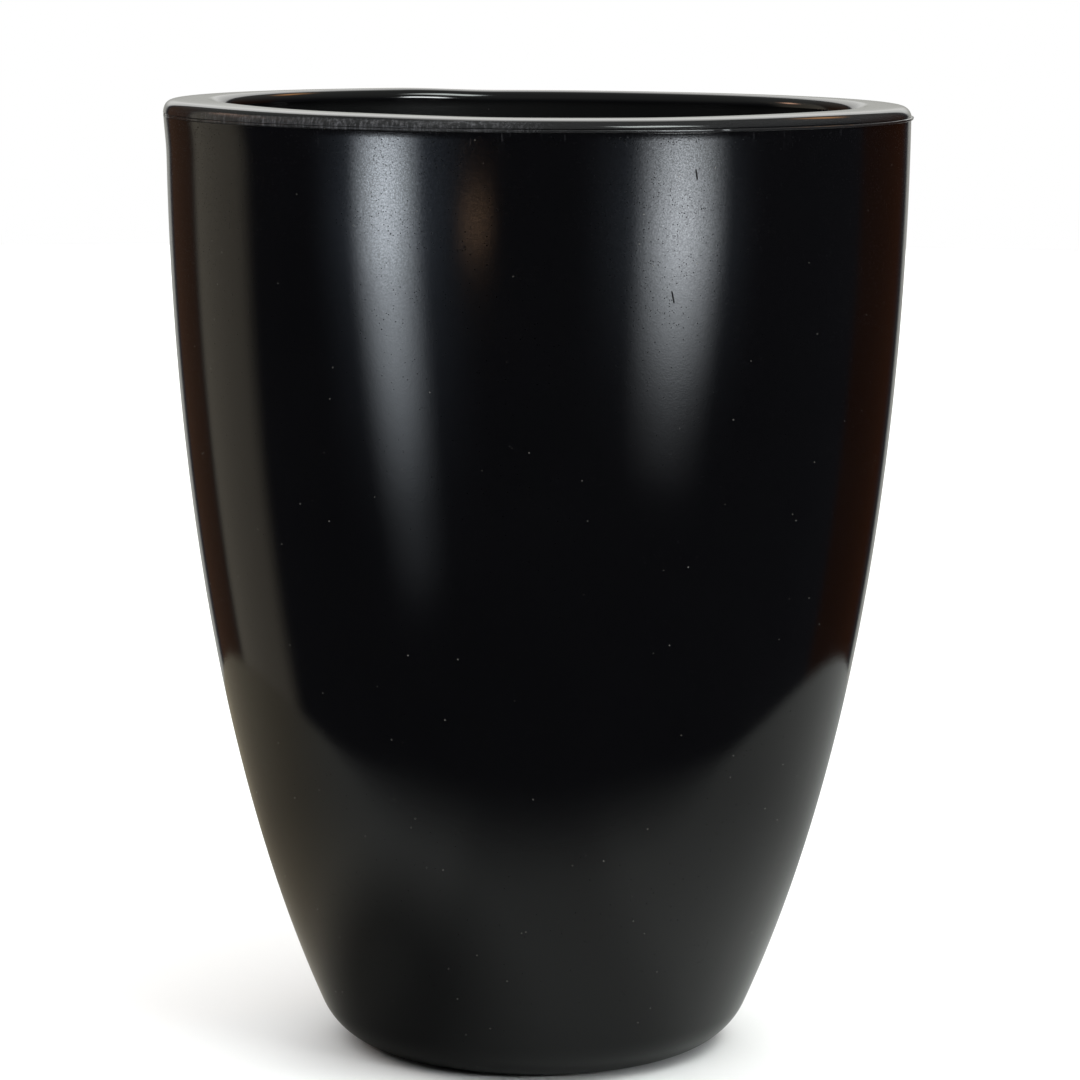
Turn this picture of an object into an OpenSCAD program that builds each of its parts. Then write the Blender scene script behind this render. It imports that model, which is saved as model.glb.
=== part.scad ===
// Tall round planter with a double wall: a moulded outer shell, and a liner whose
// turned-in rim rests on the top edge of the shell. A perforated separator inside the
// liner keeps the soil above a water reserve. Millimetres, +Z up, origin on the floor
// at the axis of the planter, -Y is the front.

/* [Outer shell] */
// Height from the floor to the crown of the rim
total_h = 600; // [590:1:615]
// Largest diameter of the wall, at the joint under the rim
top_d = 466; // [462:1:472]
// Diameter where the flat foot ring turns up into the wall
foot_d = 190; // [186:1:196]
// Radius of the bottom corner
corner_r = 45.5; // [42:0.5:48]
// Lean of the wall from the vertical where it leaves the bottom corner
base_lean = 23.7; // [22:0.1:25]
// Lean of the wall from the vertical at the top
top_lean = 0.4; // [0.2:0.1:2]
// Thickness of the moulded wall
wall = 5; // [4:0.5:6]

/* [Foot] */
// Height of the raised middle of the base
kick_h = 14; // [13:0.5:16]
// Width of each vent notch in the foot ring
notch_w = 34; // [24:1:40]
// Depth of each vent notch
notch_h = 2.2; // [1.5:0.1:3]
// Turn of the first vent notch from the front
notch_turn = 8; // [0:1:20]

/* [Liner] */
// Radius of the mouth inside the rim
mouth_r = 200.5; // [198:0.5:202]
// Height of the upright lip inside the mouth
lip_h = 28; // [24:1:30]
// Thickness of the liner wall
liner_wall = 4; // [3:0.5:4.5]
// Height of the ledge that carries the separator
ledge_z = 130; // [126:1:134]

/* [Separator and tubes] */
// Thickness of the perforated plate
plate_t = 4; // [3:0.5:5]
// Diameter of the small drain holes
perf_d = 6; // [4:0.5:8]
// Distance from the axis to each wick
wick_reach = 92; // [88:1:96]
// Diameter of each wick
wick_d = 24; // [20:1:26]
// Height of the top of both tubes
tube_top = 556; // [546:1:558]
// Travel of the float from empty to full
float_travel = 56; // [40:1:58]

/* [Hidden] */
$fn = 96;
over = 1; // how far a cutter runs past the face that it cuts

// Outer shell
top_r = top_d / 2;
foot_r = foot_d / 2;
rim_h = 8;
shell_h = total_h - rim_h;
edge_r = 1.2;
base_pull = 165;
top_pull = 209;
wall_steps = 28;
ring_in_r = 62;
kick_r = 54;
slope_run = 3.5; // sideways step of the slope round the raised middle, inside against outside

// Liner and its rim
seat_z = shell_h;
bead_r = 0.9;
shoulder_r = 5;
lip_r = 7;
crown_pull = 5;
lip_z = total_h - lip_r;
taper_z = lip_z - lip_h;
ledge_w = 16;
ledge_t = 4;
liner_base_r = 150;
spigot_t = 4.4;
spigot_gap = 1.1;
spigot_drop = 11;

// Drain fitting in the middle of the base
drain_hole_r = 13;
shank_r = 12.9;
bore_r = 9;
flange_r = 20;
flange_t = 4;
gasket_t = 2;
nut_af = 36;
nut_t = 8;
plug_gap = 0.06;
plug_head_r = 13;
plug_head_t = 3.5;
plug_len = 16;
seal_r = 1;
seal_reach = 10.6;
slot_w = 3;
slot_l = 20;
slot_h = 2;

// Separator plate, wicks and tubes
plate_r = 149;
plate_top = ledge_z + plate_t;
perf_step = 24;
perf_rings = 5;
perf_limit = 126;
perf_margin = 5; // clear width between a drain hole and its neighbours
rib_t = 3;
rib_h = 8;
rib_from = 20;
rib_to = 130;
rib_angles = [15, 139, 255];
fit_gap = 0.1;
wick_angles = [-45, 75, 195];
wick_z = 10;
wick_top = plate_top + 2;
ring_bore = wick_d / 2 + fit_gap;
ring_neck = ring_bore + 2;
ring_flange_r = wick_d / 2 + 7;
ring_drop = 10;
fill_at = [-58, 88];
fill_r = 20.9;
fill_wall = 2;
fill_z = ledge_z - 4;
fill_grommet_r = 24;
collar_r = 25;
collar_h = 16;
grommet_flange_t = 2;
grommet_neck = 1.4;
hole_gap = 0.1;
gauge_at = [-100, 50];
gauge_r = 12;
gauge_wall = 2;
gauge_z = 24;
window_wall = 1.5;
sleeve_gap = 0.1;
stop_t = 2;
stop_r = 6;
inlet_w = 3;
inlet_h = 60;
grommet_r = 15;
gauge_cap_r = 14;

// Hinge of the filler cap, on the +Y side of the fill tube
cap_t = 4;
tab_w = 16;
tab_out = 4;
cap_hinge_y = 28.5;
cap_hinge_z = tube_top + 2;
pin_r = 1.5;
pin_gap = 0.05;
pin_l = 26;
knuckle_r = 3.5;
knuckle_l = 11.6;
lug_l = 6;
lug_gap = 0.2;

// Float
float_r = 9.4;
float_l = 30;
float_z = gauge_z + stop_t + 0.1;
rod_r = 1.5;
marker_r = 8;
marker_t = 5;
gauge_skirt = 8; // how far the gauge's cap reaches down over the window
marker_z = tube_top - gauge_skirt - 3 - marker_t - float_travel; // just under the cap when full
window_z = marker_z - 4; // the marker sits just inside the window when the reserve is empty

function arc(c, r, from, to, n = 8) =
    [for (i = [0:n]) let (a = from + (to - from) * i / n) c + r * [cos(a), sin(a)]];

function bezier(p, t) =
    pow(1 - t, 3) * p[0] + 3 * pow(1 - t, 2) * t * p[1] + 3 * (1 - t) * t * t * p[2] + pow(t, 3) * p[3];

function bezier_slope(p, t) =
    3 * pow(1 - t, 2) * (p[1] - p[0]) + 6 * (1 - t) * t * (p[2] - p[1]) + 3 * t * t * (p[3] - p[2]);

function reversed(list) = [for (i = [len(list) - 1:-1:0]) list[i]];

// The long curve of the wall, from the bottom corner to the top edge, as four control points.
function wall_curve() =
    let (low = [foot_r + corner_r * cos(base_lean), corner_r - corner_r * sin(base_lean)],
         high = [top_r, shell_h - edge_r])
    [low, low + base_pull * [sin(base_lean), cos(base_lean)],
     high - top_pull * [sin(top_lean), cos(top_lean)], high];

// Points of the wall curve moved inwards by inset.
function wall_line(inset) =
    [for (i = [0:wall_steps])
        let (t = i / wall_steps, d = bezier_slope(wall_curve(), t))
        bezier(wall_curve(), t) + inset / norm(d) * [-d[1], d[0]]];

function at(reach, angle) = reach * [cos(angle), sin(angle)];

// Distance of a point from a ray that leaves the axis at an angle.
function ray_gap(p, angle) =
    let (u = at(1, angle)) p * u < 0 ? norm(p) : norm(p - (p * u) * u);

function clear_of_features(p) =
    min([for (a = wick_angles) norm(p - at(wick_reach, a))]) > ring_flange_r + perf_margin
    && norm(p - fill_at) > fill_grommet_r + perf_margin
    && norm(p - gauge_at) > grommet_r + perf_margin
    && min([for (a = rib_angles) ray_gap(p, a)]) > perf_margin + rib_t / 2;

module tube(r, bore, from, to) {
    translate([0, 0, from])
        difference() {
            cylinder(r = r, h = to - from);
            translate([0, 0, -over]) cylinder(r = bore, h = to - from + 2 * over);
        }
}

module at_fill() { translate([fill_at[0], fill_at[1], 0]) children(); }
module at_gauge() { translate([gauge_at[0], gauge_at[1], 0]) children(); }

module outer_shell() {
    outside = concat(
        [[0, kick_h], [kick_r, kick_h], [ring_in_r, 0]],
        arc([foot_r, corner_r], corner_r, -90, -base_lean),
        wall_line(0),
        arc([top_r - edge_r, shell_h - edge_r], edge_r, 15, 90, 4));
    inside = concat(
        [[top_r - wall, shell_h]],
        reversed(wall_line(wall)),
        arc([foot_r, corner_r], corner_r - wall, -base_lean, -90),
        [[ring_in_r + slope_run, wall], [kick_r + slope_run, kick_h + wall], [0, kick_h + wall]]);
    color([0.02, 0.02, 0.022])
        difference() {
            rotate_extrude() polygon(concat(outside, inside));
            translate([0, 0, kick_h - over]) cylinder(r = drain_hole_r, h = wall + 2 * over);
            for (quarter = [0:3])
                rotate([0, 0, notch_turn + 90 * quarter - 90])
                    translate([kick_r - over, -notch_w / 2, -over])
                        cube([foot_r + corner_r, notch_w, notch_h + over]);
        }
}

// Profile of the liner: rim crown and mouth, tapered wall, ledge, then back up the outside.
module liner() {
    shoulder = [top_r - shoulder_r, seat_z + 2.2];
    lip = [mouth_r + lip_r, lip_z];
    crown_from = shoulder + at(shoulder_r, 75);
    crown = [crown_from, crown_from + at(crown_pull, 165), lip + [crown_pull, lip_r], lip + [0, lip_r]];
    spigot_r = top_r - wall - spigot_gap;
    bead = [top_r + 0.2, seat_z + bead_r];
    top_side = concat(
        arc(bead, bead_r, -90, 60, 5),
        arc(shoulder, shoulder_r, 0, 75, 6),
        [for (i = [1:6]) bezier(crown, i / 6)],
        arc(lip, lip_r, 100, 180, 7),
        [[mouth_r, taper_z], [liner_base_r, ledge_z], [liner_base_r - ledge_w, ledge_z]]);
    under_side = concat(
        [[liner_base_r - ledge_w, ledge_z - ledge_t], [liner_base_r + liner_wall, ledge_z - ledge_t],
         [mouth_r + liner_wall, taper_z]],
        arc(lip, lip_r - liner_wall, 180, 90, 4),
        [[spigot_r - spigot_t, seat_z + 3.6], [spigot_r - spigot_t, seat_z - spigot_drop],
         [spigot_r, seat_z - spigot_drop], [spigot_r, seat_z]]);
    color([0.02, 0.02, 0.022])
        rotate_extrude() polygon(concat(top_side, under_side));
}

module drain_bushing() {
    flange_z = kick_h - gasket_t - flange_t;
    shank_top = kick_h + wall + nut_t + 4;
    color([0.1, 0.1, 0.1]) {
        tube(flange_r, bore_r, flange_z, flange_z + flange_t);
        tube(shank_r, bore_r, flange_z, shank_top);
    }
}

module bushing_gasket() {
    color([0.05, 0.05, 0.05]) tube(flange_r, shank_r + fit_gap, kick_h - gasket_t, kick_h);
}

module bushing_nut() {
    color([0.1, 0.1, 0.1])
        translate([0, 0, kick_h + wall])
            difference() {
                cylinder(r = nut_af / sqrt(3), h = nut_t, $fn = 6);
                translate([0, 0, -over]) cylinder(r = shank_r + fit_gap, h = nut_t + 2 * over);
            }
}

// The plug screws up into the bushing; its slot takes a coin.
module drain_plug() {
    face_z = kick_h - gasket_t - flange_t - 2 * seal_r;
    color([0.1, 0.1, 0.1])
        difference() {
            union() {
                translate([0, 0, face_z - plug_head_t]) cylinder(r = plug_head_r, h = plug_head_t);
                translate([0, 0, face_z]) cylinder(r = bore_r - plug_gap, h = plug_len);
            }
            translate([-slot_l / 2, -slot_w / 2, face_z - plug_head_t - over])
                cube([slot_l, slot_w, slot_h + over]);
            translate([0, 0, face_z + 4]) cylinder(r = bore_r - 3, h = plug_len);
        }
}

module plug_seal() {
    color([0.05, 0.05, 0.05])
        translate([0, 0, kick_h - gasket_t - flange_t - seal_r])
            rotate_extrude() translate([seal_reach, 0]) circle(r = seal_r);
}

// Rubber ring that seals a tube of radius r in a hole of the separator plate.
module grommet(r, flange_r) {
    rotate_extrude()
        polygon([
            [r + fit_gap, ledge_z - grommet_flange_t], [flange_r, ledge_z - grommet_flange_t],
            [flange_r, ledge_z], [r + grommet_neck, ledge_z], [r + grommet_neck, plate_top],
            [flange_r, plate_top], [flange_r, plate_top + grommet_flange_t],
            [r + fit_gap, plate_top + grommet_flange_t]]);
}

module plate_hole(r) {
    translate([0, 0, ledge_z - over]) cylinder(r = r, h = plate_t + 2 * over);
}

module separator_plate() {
    color([0.13, 0.13, 0.135])
        difference() {
            union() {
                translate([0, 0, ledge_z]) cylinder(r = plate_r, h = plate_t);
                for (a = rib_angles)
                    rotate([0, 0, a])
                        translate([rib_from, -rib_t / 2, ledge_z - rib_h])
                            cube([rib_to - rib_from, rib_t, rib_h + plate_t / 2]);
            }
            for (ring = [1:perf_rings])
                for (i = [0:6 * ring - 1]) {
                    p = at(perf_step * ring, 360 * i / (6 * ring));
                    if (perf_step * ring < perf_limit && clear_of_features(p))
                        translate([p[0], p[1], 0]) plate_hole(perf_d / 2);
                }
            for (a = wick_angles)
                rotate([0, 0, a])
                    translate([wick_reach, 0, 0]) plate_hole(ring_neck + hole_gap);
            at_fill() plate_hole(fill_r + grommet_neck + hole_gap);
            at_gauge() plate_hole(gauge_r + grommet_neck + hole_gap);
        }
}

module wick_rings() {
    color([0.13, 0.13, 0.135])
        for (a = wick_angles)
            rotate([0, 0, a])
                translate([wick_reach, 0, 0])
                    rotate_extrude()
                        polygon([
                            [ring_bore, plate_top - ring_drop], [ring_neck, plate_top - ring_drop],
                            [ring_neck, plate_top], [ring_flange_r, plate_top],
                            [ring_flange_r, wick_top], [ring_bore, wick_top]]);
}

// Felt rods that draw water up from the reserve into the soil.
module wicks() {
    color([0.78, 0.76, 0.7])
        for (a = wick_angles)
            rotate([0, 0, a])
                translate([wick_reach, 0, wick_z]) cylinder(d = wick_d, h = wick_top - wick_z);
}

module fill_grommet() {
    color([0.05, 0.05, 0.05]) at_fill() grommet(fill_r, fill_grommet_r);
}

module fill_tube() {
    color([0.1, 0.1, 0.1]) at_fill() tube(fill_r, fill_r - fill_wall, fill_z, tube_top);
}

// Ring on top of the fill tube, with two lugs that hold the hinge pin of the cap.
module fill_collar() {
    lug_z = tube_top - collar_h / 2;
    color([0.12, 0.12, 0.125])
        at_fill()
            difference() {
                union() {
                    translate([0, 0, tube_top - collar_h]) cylinder(r = collar_r, h = collar_h);
                    for (side = [-1, 1])
                        translate([side * (knuckle_l / 2 + lug_gap + lug_l / 2), 0, 0]) {
                            translate([-lug_l / 2, fill_r, lug_z])
                                cube([lug_l, cap_hinge_y - fill_r, cap_hinge_z - lug_z]);
                            translate([-lug_l / 2, cap_hinge_y, cap_hinge_z])
                                rotate([0, 90, 0]) cylinder(r = knuckle_r, h = lug_l);
                        }
                }
                translate([0, 0, tube_top - collar_h - over])
                    cylinder(r = fill_r + fit_gap, h = collar_h + 2 * over);
                translate([0, 0, tube_top]) cylinder(r = collar_r + 0.4, h = 20);
                translate([-pin_l, cap_hinge_y, cap_hinge_z])
                    rotate([0, 90, 0]) cylinder(r = pin_r, h = 2 * pin_l);
            }
}

module cap_hinge_pin() {
    color([0.6, 0.6, 0.62])
        at_fill()
            translate([-pin_l / 2, cap_hinge_y, cap_hinge_z])
                rotate([0, 90, 0]) cylinder(r = pin_r, h = pin_l);
}

module fill_cap() {
    color([0.12, 0.12, 0.125])
        at_fill()
            difference() {
                union() {
                    translate([0, 0, tube_top]) cylinder(r = collar_r, h = cap_t);
                    translate([-knuckle_l / 2, collar_r - 6, tube_top + 0.2])
                        cube([knuckle_l, cap_hinge_y - collar_r + 6, cap_t - 0.4]);
                    translate([-knuckle_l / 2, cap_hinge_y, cap_hinge_z])
                        rotate([0, 90, 0]) cylinder(r = knuckle_r, h = knuckle_l);
                    translate([-tab_w / 2, -collar_r - tab_out, tube_top + 1])
                        cube([tab_w, 2 * tab_out, cap_t - 1]);
                }
                translate([-pin_l, cap_hinge_y, cap_hinge_z])
                    rotate([0, 90, 0]) cylinder(r = pin_r + pin_gap, h = 2 * pin_l);
            }
}

module gauge_grommet() {
    color([0.05, 0.05, 0.05]) at_gauge() grommet(gauge_r, grommet_r);
}

// Dip tube that guides the float. Its foot has a stop ring, and slots let the water in.
module gauge_tube() {
    color([0.1, 0.1, 0.1])
        at_gauge()
            difference() {
                union() {
                    tube(gauge_r, gauge_r - gauge_wall, gauge_z, window_z);
                    tube(gauge_r - gauge_wall + 0.5, stop_r, gauge_z, gauge_z + stop_t);
                }
                for (turn = [0, 90])
                    rotate([0, 0, turn])
                        translate([-gauge_r - over, -inlet_w / 2, gauge_z + 8])
                            cube([2 * (gauge_r + over), inlet_w, inlet_h]);
            }
}

module gauge_window() {
    color([0.85, 0.9, 0.92, 0.4]) at_gauge() tube(gauge_r, gauge_r - window_wall, window_z, tube_top);
}

module gauge_cap() {
    color([0.12, 0.12, 0.125])
        at_gauge()
            difference() {
                translate([0, 0, tube_top - gauge_skirt]) cylinder(r = gauge_cap_r, h = gauge_skirt + 3);
                translate([0, 0, tube_top - gauge_skirt - over])
                    cylinder(r = gauge_r + sleeve_gap, h = gauge_skirt + over);
            }
}

module float() {
    color([0.75, 0.74, 0.7]) at_gauge() translate([0, 0, float_z]) cylinder(r = float_r, h = float_l);
}

module float_rod() {
    color([0.8, 0.8, 0.78])
        at_gauge()
            translate([0, 0, float_z + float_l]) cylinder(r = rod_r, h = marker_z - float_z - float_l);
}

module float_marker() {
    color([0.75, 0.05, 0.04]) at_gauge() translate([0, 0, marker_z]) cylinder(r = marker_r, h = marker_t);
}

outer_shell();
drain_bushing();
bushing_gasket();
bushing_nut();
drain_plug();
plug_seal();
liner();
separator_plate();
wick_rings();
wicks();
fill_grommet();
fill_tube();
fill_collar();
cap_hinge_pin();
fill_cap();
gauge_grommet();
gauge_tube();
gauge_window();
gauge_cap();
float();
float_rod();
float_marker();
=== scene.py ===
import math

import bmesh
import bpy
from mathutils import Matrix, Quaternion, Vector, noise


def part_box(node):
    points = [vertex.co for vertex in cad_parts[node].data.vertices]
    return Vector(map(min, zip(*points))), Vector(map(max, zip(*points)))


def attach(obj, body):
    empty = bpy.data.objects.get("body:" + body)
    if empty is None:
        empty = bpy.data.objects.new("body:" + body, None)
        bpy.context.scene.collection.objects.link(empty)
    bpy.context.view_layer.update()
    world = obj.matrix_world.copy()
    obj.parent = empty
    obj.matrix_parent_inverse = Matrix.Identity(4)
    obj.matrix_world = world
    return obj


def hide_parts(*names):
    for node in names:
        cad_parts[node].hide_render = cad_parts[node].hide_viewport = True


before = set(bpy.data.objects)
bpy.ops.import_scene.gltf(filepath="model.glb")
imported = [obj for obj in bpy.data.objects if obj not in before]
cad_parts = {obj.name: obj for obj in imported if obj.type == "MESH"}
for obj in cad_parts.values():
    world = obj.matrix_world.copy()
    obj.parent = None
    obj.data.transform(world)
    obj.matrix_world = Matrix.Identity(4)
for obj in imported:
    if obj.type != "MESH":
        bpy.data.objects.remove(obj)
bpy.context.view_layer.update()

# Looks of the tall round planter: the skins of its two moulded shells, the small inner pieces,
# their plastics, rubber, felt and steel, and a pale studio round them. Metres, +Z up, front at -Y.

TURN = 2 * math.pi


# ---------------------------------------------------------------- camera

CAMERA_DISTANCE = 2.582
CAMERA_ELEVATION = math.radians(8.98)
CAMERA_ROLL = math.radians(0.33)
CAMERA_LENS = 134.85
CAMERA_SIGHT = Vector((0, 0, 0.293))
AIM_RIGHT = 0.0024
AIM_UP = 0.0292


def make_camera():
    data = bpy.data.cameras.new("camera")
    data.lens = CAMERA_LENS
    camera = bpy.data.objects.new("camera", data)
    bpy.context.scene.collection.objects.link(camera)
    back = Vector((0, -math.cos(CAMERA_ELEVATION), math.sin(CAMERA_ELEVATION)))
    up = Vector((0, math.sin(CAMERA_ELEVATION), math.cos(CAMERA_ELEVATION)))
    camera.location = CAMERA_SIGHT + back * CAMERA_DISTANCE
    aim = CAMERA_SIGHT + Vector((AIM_RIGHT, 0, 0)) + up * AIM_UP
    look = (aim - camera.location).to_track_quat("-Z", "Y")
    camera.rotation_mode = "QUATERNION"
    camera.rotation_quaternion = look @ Quaternion((0, 0, 1), CAMERA_ROLL)
    bpy.context.scene.camera = camera


# ---------------------------------------------------------------- node helpers

class Nodes:
    """Short calls for building a node tree."""

    def __init__(self, tree):
        self.tree = tree
        self.tree.nodes.clear()
        self.shader = None

    def new(self, kind, **values):
        node = self.tree.nodes.new(kind)
        for name, value in values.items():
            setattr(node, name, value)
        return node

    def join(self, value, socket):
        """Sets a socket to a number or colour, or links another socket to it."""
        if isinstance(value, bpy.types.NodeSocket):
            self.tree.links.new(value, socket)
        else:
            socket.default_value = value

    def surface(self, name, value):
        """Sets one input of the material's shader."""
        self.join(value, self.shader.inputs[name])

    def math(self, operation, a, b=0.0, c=0.0):
        node = self.new("ShaderNodeMath", operation=operation)
        for value, socket in zip((a, b, c), node.inputs):
            self.join(value, socket)
        return node.outputs[0]

    def times(self, a, b):
        return self.math("MULTIPLY", a, b)

    def scaled(self, value, factor, base):
        """The value times the factor, plus the base."""
        return self.math("MULTIPLY_ADD", value, factor, base)

    def split(self, vector):
        node = self.new("ShaderNodeSeparateXYZ")
        self.join(vector, node.inputs[0])
        return node.outputs

    def distance(self, vector, centre):
        node = self.new("ShaderNodeVectorMath", operation="DISTANCE")
        self.join(vector, node.inputs[0])
        self.join(centre, node.inputs[1])
        return node.outputs["Value"]

    def step(self, value, low, high, to_low=0.0, to_high=1.0):
        """Goes smoothly from to_low at low to to_high at high."""
        node = self.new("ShaderNodeMapRange", interpolation_type="SMOOTHSTEP")
        for v, socket in zip((value, low, high, to_low, to_high), node.inputs):
            self.join(v, socket)
        return node.outputs[0]

    def mix(self, factor, a, b):
        """Goes from colour a to colour b. A colour is a socket or three numbers."""
        node = self.new("ShaderNodeMix", data_type="RGBA")
        self.join(factor, node.inputs[0])
        for colour, socket in ((a, node.inputs[6]), (b, node.inputs[7])):
            self.join((*colour, 1.0) if isinstance(colour, (tuple, list)) else colour, socket)
        return node.outputs[2]

    def noise(self, vector, scale, detail=2.0, roughness=0.5):
        node = self.new("ShaderNodeTexNoise")
        self.join(vector, node.inputs["Vector"])
        node.inputs["Scale"].default_value = scale
        node.inputs["Detail"].default_value = detail
        node.inputs["Roughness"].default_value = roughness
        return node.outputs["Fac"]

    def cells(self, vector, scale):
        """Distance to the nearest of a scatter of points, and that point's own colour."""
        node = self.new("ShaderNodeTexVoronoi")
        self.join(vector, node.inputs["Vector"])
        node.inputs["Scale"].default_value = scale
        return node.outputs["Distance"], node.outputs["Color"]

    def stretch(self, vector, scale):
        node = self.new("ShaderNodeMapping")
        self.join(vector, node.inputs["Vector"])
        node.inputs["Scale"].default_value = scale
        return node.outputs["Vector"]

    def bump(self, height, distance, strength=1.0, normal=None):
        node = self.new("ShaderNodeBump")
        node.inputs["Strength"].default_value = strength
        node.inputs["Distance"].default_value = distance
        self.join(height, node.inputs["Height"])
        if normal is not None:
            self.join(normal, node.inputs["Normal"])
        return node.outputs["Normal"]


# ---------------------------------------------------------------- studio

# What the gloss of the planter shows. Azimuth runs from the camera side, + to the right, and
# elevation from the horizon, both in degrees as seen from the planter. A pair of angles is where
# a soft change starts and ends.
DARK = (0.030, 0.030, 0.036)
CEILING = (0.25, 0.26, 0.25)
CEILING_RISE = (3, 45)
BACKDROP = (1.05, 1.05, 1.02)
BACKDROP_LOW = (0.46, 0.46, 0.43)
BACKDROP_BOOST = 1.7
BACKDROP_SIDE = (159, 162)
BACKDROP_FOOT = (1, 9)
BACKDROP_GLOW = (10, 30)
BACKDROP_TOP = (66, 45)
# Plain bands of the room: first and last azimuth, soft edge, colour.
BANDS = (
    (-131, -101, 5.0, (0.40, 0.36, 0.29)),
    (-156, -133, 2.5, (0.085, 0.045, 0.028)),
    (117, 154, 5.0, (0.050, 0.018, 0.008)),
)
# Windows: azimuth, half width, soft edge, drift to the right per degree lower, colour, share of
# the glow, and the glow at rising elevations. Each bright pane is followed by the wide faint glow
# round it.
LEFT_LEVELS = ((-26, 0), (-20, 0.4), (-18, 1.0), (-16, 1.9), (-14, 3.2), (-12, 4.8), (-9.5, 6.6),
               (-7.2, 12.4), (-4.2, 12.0), (0, 0))
RIGHT_LEVELS = ((-19, 0), (-16, 0.4), (-14, 1.1), (-12, 3.1), (-10, 6.0), (-7.5, 11.0), (-4.2, 8.5),
                (0, 0))
WINDOWS = (
    (-47.0, 6.4, 13.5, 0.40, (0.86, 0.93, 1.0), 0.92, LEFT_LEVELS),
    (-45.5, 10.0, 40.0, 0.40, (0.66, 0.80, 1.0), 0.10, LEFT_LEVELS),
    (44.0, 8.2, 17.0, -0.30, (0.90, 0.95, 1.0), 0.94, RIGHT_LEVELS),
    (42.0, 10.0, 44.0, -0.30, (0.70, 0.83, 1.0), 0.10, RIGHT_LEVELS),
)
# The drift starts below this elevation.
DRIFT_BELOW = -7.0
# Lamps: azimuth, elevation, half width, half height, soft edges across and upwards, colour.
LAMPS = (
    (-18.7, -7.1, 4.4, 0.3, 7.0, 0.8, (4.4, 2.7, 1.6)),
    (45, 20, 8, 5, 6, 5, (22.0, 23.0, 23.0)),
    (50, 56, 16, 8, 6, 6, (10.0, 10.8, 10.5)),
    (-115, 26, 4, 3, 5, 5, (7.5, 4.4, 3.0)),
    (140, 40, 7, 4, 8, 8, (3.0, 1.5, 0.6)),
)


def within(n, value, middle, half, soft):
    """1 within half of the middle, falling to 0 over a soft edge."""
    off = n.math("ABSOLUTE", n.math("SUBTRACT", value, middle))
    return n.step(off, half + soft / 2, half - soft / 2)


def band_colour(n, azimuth, colour):
    for start, end, soft, tint in BANDS:
        inside = n.times(n.step(azimuth, start - soft / 2, start + soft / 2),
                         n.step(azimuth, end + soft, end - soft))
        colour = n.mix(inside, colour, tint)
    return colour


def window_glow(n, azimuth, elevation, window):
    """Strength of a window's light in a direction."""
    centre, half, soft, drift, _, share, levels = window
    lowered = n.math("MAXIMUM", n.math("SUBTRACT", DRIFT_BELOW, elevation), 0.0)
    strength = 0.0
    for (low, before), (high, after) in zip(levels, levels[1:]):
        strength = n.math("ADD", strength, n.step(elevation, low, high, 0.0, share * (after - before)))
    return n.times(within(n, azimuth, n.scaled(lowered, drift, centre), half, soft), strength)


def make_world():
    world = bpy.data.worlds.new("studio")
    bpy.context.scene.world = world
    world.use_nodes = True
    n = Nodes(world.node_tree)
    x, y, z = n.split(n.new("ShaderNodeTexCoord").outputs["Generated"])
    azimuth = n.math("DEGREES", n.math("ARCTAN2", x, n.times(y, -1.0)))
    elevation = n.math("DEGREES", n.math("ARCSINE", z))

    colour = band_colour(n, azimuth, DARK)
    colour = n.mix(n.step(elevation, *CEILING_RISE), colour, CEILING)
    behind = n.times(n.step(n.math("ABSOLUTE", azimuth), *BACKDROP_SIDE), n.step(elevation, *BACKDROP_TOP))
    bright = [BACKDROP_BOOST * c for c in BACKDROP]
    paper_light = n.mix(n.step(elevation, *BACKDROP_FOOT), BACKDROP_LOW, BACKDROP)
    paper_light = n.mix(n.step(elevation, *BACKDROP_GLOW), paper_light, bright)
    colour = n.mix(behind, colour, paper_light)
    for lamp_azimuth, lamp_elevation, half_w, half_h, soft_w, soft_h, tint in LAMPS:
        inside = n.times(within(n, azimuth, lamp_azimuth, half_w, soft_w),
                         within(n, elevation, lamp_elevation, half_h, soft_h))
        colour = n.mix(inside, colour, tint)
    for window in WINDOWS:
        glow = n.new("ShaderNodeVectorMath", operation="SCALE")
        n.join(window[4], glow.inputs[0])
        n.join(window_glow(n, azimuth, elevation, window), glow.inputs["Scale"])
        both = n.new("ShaderNodeVectorMath", operation="ADD")
        n.join(colour, both.inputs[0])
        n.join(glow.outputs[0], both.inputs[1])
        colour = both.outputs[0]

    # The camera itself sees plain white behind the planter.
    pale = n.new("ShaderNodeLightPath").outputs["Is Camera Ray"]
    shade = n.new("ShaderNodeBackground")
    n.join(n.mix(pale, colour, (1.0, 1.0, 1.0)), shade.inputs["Color"])
    n.join(shade.outputs[0], n.new("ShaderNodeOutputWorld").inputs["Surface"])


def soft_sun(name, tilt, turn, spread, power):
    """Even light from one side of the sky, left out of reflections."""
    data = bpy.data.lights.new(name, "SUN")
    data.energy = power
    data.angle = math.radians(spread)
    light = bpy.data.objects.new(name, data)
    bpy.context.scene.collection.objects.link(light)
    light.rotation_euler = (math.radians(tilt), 0, math.radians(turn))
    light.visible_glossy = False


def disc(name, radius, centre, rings, count=96):
    """A flat disc on the floor, made of rings of faces round a centre."""
    mesh = bmesh.new()
    middle = mesh.verts.new(centre)
    last = None
    for ring in range(1, rings + 1):
        r = radius * ring / rings
        verts = [mesh.verts.new((*spoke(centre, r, TURN * i / count), centre[2])) for i in range(count)]
        for i in range(count):
            j = (i + 1) % count
            corners = (middle, verts[i], verts[j]) if last is None else (last[i], verts[i], verts[j], last[j])
            mesh.faces.new(corners)
        last = verts
    return add_object(name, mesh)


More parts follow.
